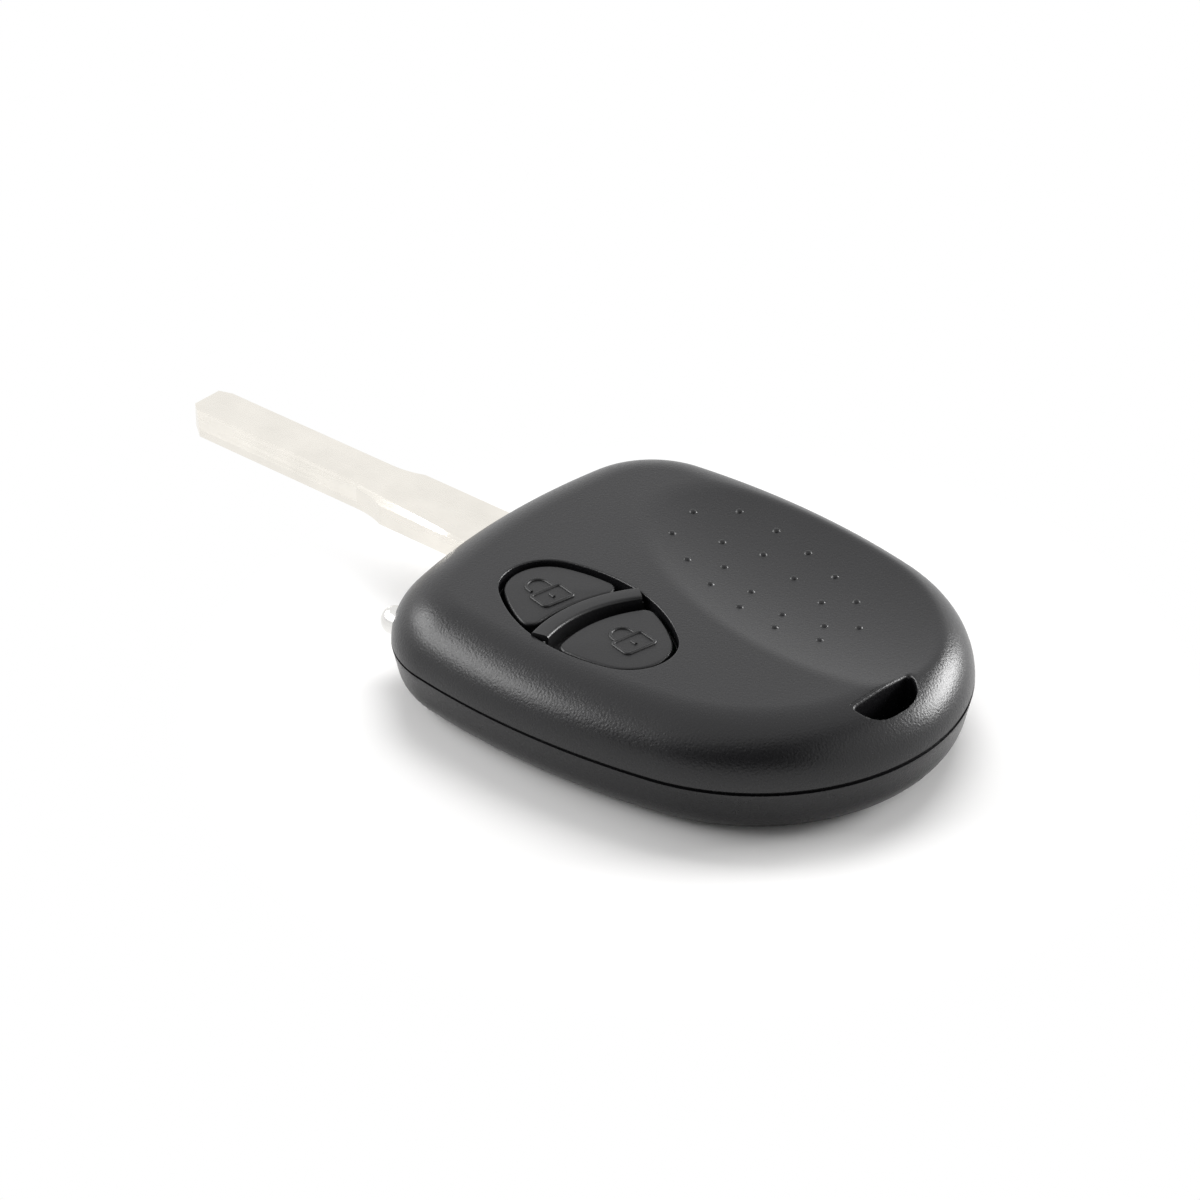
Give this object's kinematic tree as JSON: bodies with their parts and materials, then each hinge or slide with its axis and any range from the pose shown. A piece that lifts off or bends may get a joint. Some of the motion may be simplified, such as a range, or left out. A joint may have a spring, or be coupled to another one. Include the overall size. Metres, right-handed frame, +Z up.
{
  "type": "car remote key",
  "caption": "Two-button car remote key: matt black two-shell head with a thumb rest, rubber keypad, keyring slot, sprung contact pin and an uncut nickel blade.",
  "frame": {"origin": "On the flat underside, below the middle of the key's whole length and of its width.", "axes": "+X runs along the key from the blade's tip to the ring end, +Y to the side with the thumb rest, +Z up from the flat underside to the buttons."},
  "size_m": [0.0939, 0.045, 0.0114],
  "materials": {
    "shell_black": "fine-grained matt black moulding",
    "blade_nickel": "satin nickel plate with a warm tint",
    "keypad_rubber": "matt black silicone",
    "button_rubber": "matt black silicone",
    "pin_steel": "polished round end",
    "spring_steel": "plain",
    "contact_metal": "tinned",
    "board_green": "lacquered laminate",
    "switch_plastic": "moulded",
    "cell_steel": "satin",
    "chip_plastic": "moulded",
    "antenna_copper": "plain copper wire"
  },
  "bodies": {
    "key": {"upper_shell": "shell_black", "lower_shell": "shell_black", "key_blade": "blade_nickel", "keypad_web": "keypad_rubber", "contact_pin_spring": "spring_steel", "contact_pin_clip": "contact_metal", "blade_contact": "contact_metal", "circuit_board": "board_green", "unlock_switch_base": "switch_plastic", "unlock_switch_cover": "contact_metal", "lock_switch_base": "switch_plastic", "lock_switch_cover": "contact_metal", "cell_can": "cell_steel", "cell_cap": "cell_steel", "cell_gasket": "switch_plastic", "cell_side_contact": "contact_metal", "cell_centre_contact": "contact_metal", "controller_chip": "chip_plastic", "resonator_can": "contact_metal", "crystal_can": "contact_metal", "antenna_loop": "antenna_copper", "chip_parts": "chip_plastic"},
    "unlock_button": {"unlock_button": "button_rubber", "unlock_switch_plunger": "switch_plastic"},
    "lock_button": {"lock_button": "button_rubber", "lock_switch_plunger": "switch_plastic"},
    "contact_pin": {"contact_pin": "pin_steel"}
  },
  "joints": [
    {"name": "unlock_press", "type": "slide", "parent": "key", "child": "unlock_button", "axis": [0, 0, -1], "range_m": [0, 0.0004], "stiffness_N_per_m": 300},
    {"name": "lock_press", "type": "slide", "parent": "key", "child": "lock_button", "axis": [0, 0, -1], "range_m": [0, 0.0004], "stiffness_N_per_m": 300},
    {"name": "contact_pin_push", "type": "slide", "parent": "key", "child": "contact_pin", "axis": [1, 0, 0], "range_m": [0, 0.001], "stiffness_N_per_m": 150, "deforming": ["contact_pin_spring"]}
  ]
}
